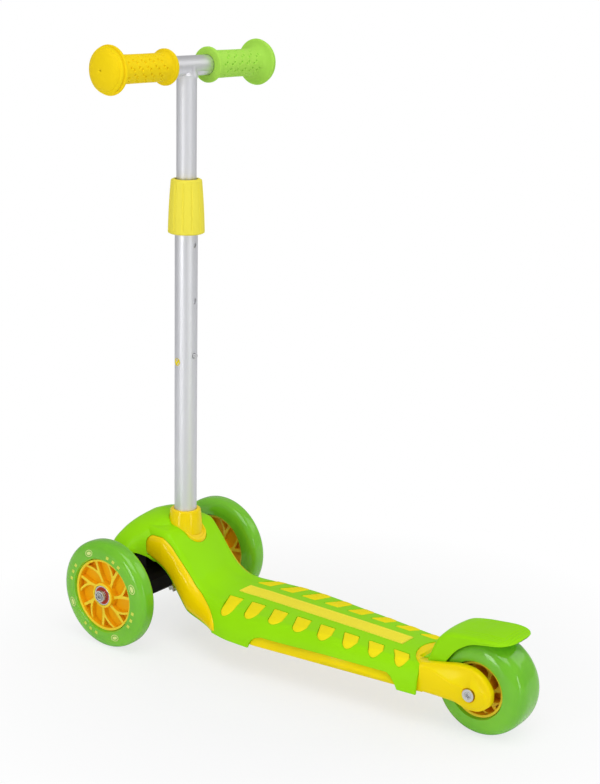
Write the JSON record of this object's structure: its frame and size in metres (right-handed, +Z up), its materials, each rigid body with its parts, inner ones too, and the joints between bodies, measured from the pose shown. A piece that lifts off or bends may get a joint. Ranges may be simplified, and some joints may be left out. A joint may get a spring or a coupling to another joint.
{
  "type": "three wheel kids scooter",
  "caption": "Lean-to-steer kids scooter with two front wheels, one rear wheel, padded deck, foot brake and a height adjustable T handlebar.",
  "frame": {"origin": "on the ground, in the middle of the scooter's width and of the length between the front tyres and the rear tyre", "axes": "+X to the rider's left, +Y to the rear, +Z up"},
  "size_m": [0.2528, 0.532, 0.646],
  "materials": {
    "green_plastic": "satin moulded plastic",
    "yellow_plastic": "glossy moulded plastic",
    "pad_rubber": "soft textured rubber",
    "yellow_grip": "soft grip rubber",
    "green_grip": "soft grip rubber",
    "tyre_green": "glossy cast polyurethane",
    "core_yellow": "moulded wheel core",
    "black_plastic": "fine grained plastic",
    "tube_steel": "silver coated tube",
    "hardware": "zinc plated steel",
    "bearing": "steel races with red seals"
  },
  "bodies": {
    "frame": {"chassis": "yellow_plastic", "deck_cover": "green_plastic", "deck_pad_insert": "pad_rubber", "center_strip": "yellow_plastic", "stem_collar": "yellow_plastic", "side_trim_left": "yellow_plastic", "side_trim_right": "yellow_plastic", "kingpin_bolt": "hardware", "kingpin_nut": "hardware", "kingpin_bushing": "pad_rubber", "stem_bolt": "hardware", "stem_nut": "hardware", "truck_spring_left": "hardware", "truck_spring_right": "hardware", "brake_spring": "hardware", "brake_pin": "hardware", "lower_tube": "tube_steel", "clamp_sleeve": "black_plastic", "rear_axle_bolt": "hardware", "rear_axle_nut": "hardware", "rear_spacer": "hardware", "cover_screw_1": "hardware", "cover_screw_2": "hardware", "cover_screw_3": "hardware", "cover_screw_4": "hardware"},
    "truck": {"front_truck": "black_plastic", "front_left_axle_bolt": "hardware", "front_right_axle_bolt": "hardware", "front_left_spacer": "hardware", "front_right_spacer": "hardware"},
    "wheel_left": {"front_left_tyre": "tyre_green", "front_left_core": "core_yellow", "front_left_bearing_left": "bearing", "front_left_bearing_right": "bearing"},
    "wheel_right": {"front_right_tyre": "tyre_green", "front_right_core": "core_yellow", "front_right_bearing_left": "bearing", "front_right_bearing_right": "bearing"},
    "wheel_rear": {"rear_tyre": "tyre_green", "rear_core": "core_yellow", "rear_bearing_left": "bearing", "rear_bearing_right": "bearing"},
    "brake": {"fender_brake": "green_plastic"},
    "collar": {"height_collar": "yellow_plastic"},
    "handlebar": {"t_bar": "tube_steel", "grip_left": "yellow_grip", "grip_right": "green_grip", "button_spring": "hardware"},
    "button": {"height_button": "hardware"}
  },
  "joints": [
    {"name": "lean_steer", "type": "hinge", "parent": "frame", "child": "truck", "pos_m": [0, -0.206, 0.06], "axis": [0, -0.5, 0.866], "range_deg": [-12, 12], "stiffness_Nm_per_rad": 12, "deforming": ["truck_spring_left", "truck_spring_right"]},
    {"name": "wheel_left_spin", "type": "hinge", "parent": "truck", "child": "wheel_left", "pos_m": [0.0935, -0.206, 0.06], "axis": [1, 0, 0], "continuous": true},
    {"name": "wheel_right_spin", "type": "hinge", "parent": "truck", "child": "wheel_right", "pos_m": [-0.0935, -0.206, 0.06], "axis": [1, 0, 0], "continuous": true},
    {"name": "wheel_rear_spin", "type": "hinge", "parent": "frame", "child": "wheel_rear", "pos_m": [0, 0.216, 0.05], "axis": [1, 0, 0], "continuous": true},
    {"name": "brake_press", "type": "hinge", "parent": "frame", "child": "brake", "pos_m": [0, 0.156, 0.0614], "axis": [1, 0, 0], "range_deg": [-3, 0], "stiffness_Nm_per_rad": 1.5, "springref_deg": 3.44},
    {"name": "height_slide", "type": "slide", "parent": "frame", "child": "handlebar", "axis": [0, 0, 1], "range_m": [0, 0.12], "deforming": ["height_button"]},
    {"name": "height_button_press", "type": "slide", "parent": "handlebar", "child": "button", "axis": [0, -1, 0], "range_m": [0, 0.0045], "stiffness_N_per_m": 400, "springref_m": -0.004, "deforming": ["button_spring"]},
    {"name": "collar_twist", "type": "hinge", "parent": "frame", "child": "collar", "pos_m": [0, -0.1787, 0.475], "axis": [0, 0, 1], "range_deg": [0, 90]}
  ]
}
